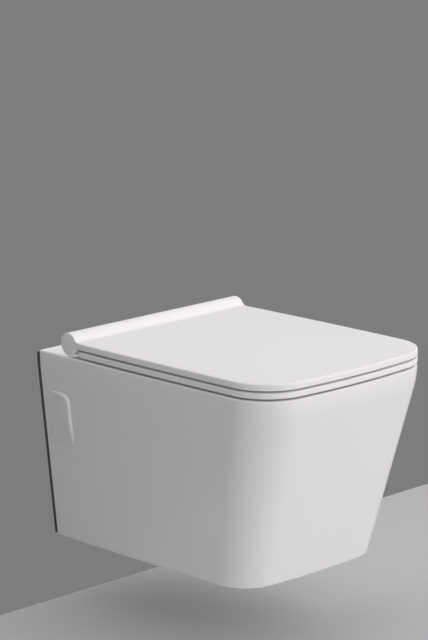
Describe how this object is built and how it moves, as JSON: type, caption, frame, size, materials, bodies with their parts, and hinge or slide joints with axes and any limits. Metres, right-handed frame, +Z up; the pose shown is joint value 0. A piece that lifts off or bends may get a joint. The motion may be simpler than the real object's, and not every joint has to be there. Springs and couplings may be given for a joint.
{
  "type": "wall-hung rimless toilet",
  "caption": "Wall-hung rimless toilet: tapering ceramic shroud, slim soft-close seat and lid with a round rear roll, side fixing covers and wall connections.",
  "frame": {"origin": "on the finished wall plane, midway between the two fixing studs", "axes": "+X along the wall to the right as seen from the front, +Y into the wall, +Z up; the front is at -Y"},
  "size_m": [0.37, 0.565, 0.343],
  "materials": {
    "glazed_ceramic": "gloss glaze",
    "white_plastic": "moulded",
    "dark_foam": "closed-cell foam",
    "black_pipe": "extruded",
    "black_rubber": "moulded",
    "zinc_steel": "zinc plated",
    "grey_plastic": "moulded",
    "cover_plastic": "gloss",
    "pad_rubber": "moulded",
    "hinge_steel": "brushed",
    "plug_brass": "turned",
    "hinge_plastic": "moulded",
    "button_plastic": "moulded",
    "seat_plastic": "pressed thermoset",
    "damper_plastic": "moulded",
    "buffer_rubber": "moulded"
  },
  "bodies": {
    "pan": {"pan": "glazed_ceramic", "pan_bowl": "glazed_ceramic", "pan_trap": "glazed_ceramic", "pan_inlet": "glazed_ceramic", "flush_distributor": "white_plastic", "wall_gasket": "dark_foam", "flush_pipe": "black_pipe", "inlet_seal": "black_rubber", "waste_connector": "black_pipe", "outlet_seal": "black_rubber", "wall_studs": "zinc_steel", "stud_sleeves": "grey_plastic", "stud_washers": "zinc_steel", "stud_nuts": "zinc_steel", "side_cover_left": "cover_plastic", "side_cover_right": "cover_plastic", "hinge_pads": "pad_rubber", "hinge_base_left": "hinge_steel", "hinge_base_right": "hinge_steel", "hinge_screws": "hinge_steel", "hinge_plugs": "black_rubber", "plug_nuts": "plug_brass"},
    "hinge_carriage": {"hinge_block_left": "hinge_plastic", "hinge_block_right": "hinge_plastic", "hinge_axle_left": "hinge_steel", "hinge_axle_right": "hinge_steel"},
    "seat": {"seat": "seat_plastic", "seat_damper": "damper_plastic", "seat_buffers": "buffer_rubber"},
    "lid": {"lid": "seat_plastic", "lid_bushes": "damper_plastic", "lid_damper": "damper_plastic", "lid_buffers": "buffer_rubber"},
    "release_left": {"release_button_left": "button_plastic"},
    "release_right": {"release_button_right": "button_plastic"}
  },
  "joints": [
    {"name": "seat_lift", "type": "slide", "parent": "pan", "child": "hinge_carriage", "axis": [0, 0, 1], "range_m": [0, 0.03]},
    {"name": "seat_hinge", "type": "hinge", "parent": "hinge_carriage", "child": "seat", "pos_m": [0, -0.075, 0.1105], "axis": [-1, 0, 0], "range_deg": [0, 95]},
    {"name": "lid_hinge", "type": "hinge", "parent": "seat", "child": "lid", "pos_m": [0, -0.075, 0.1105], "axis": [-1, 0, 0], "range_deg": [0, 95]},
    {"name": "release_left_press", "type": "slide", "parent": "hinge_carriage", "child": "release_left", "axis": [0, 1, 0], "range_m": [0, 0.0014], "stiffness_N_per_m": 800},
    {"name": "release_right_press", "type": "slide", "parent": "hinge_carriage", "child": "release_right", "axis": [0, 1, 0], "range_m": [0, 0.0014], "stiffness_N_per_m": 800}
  ]
}
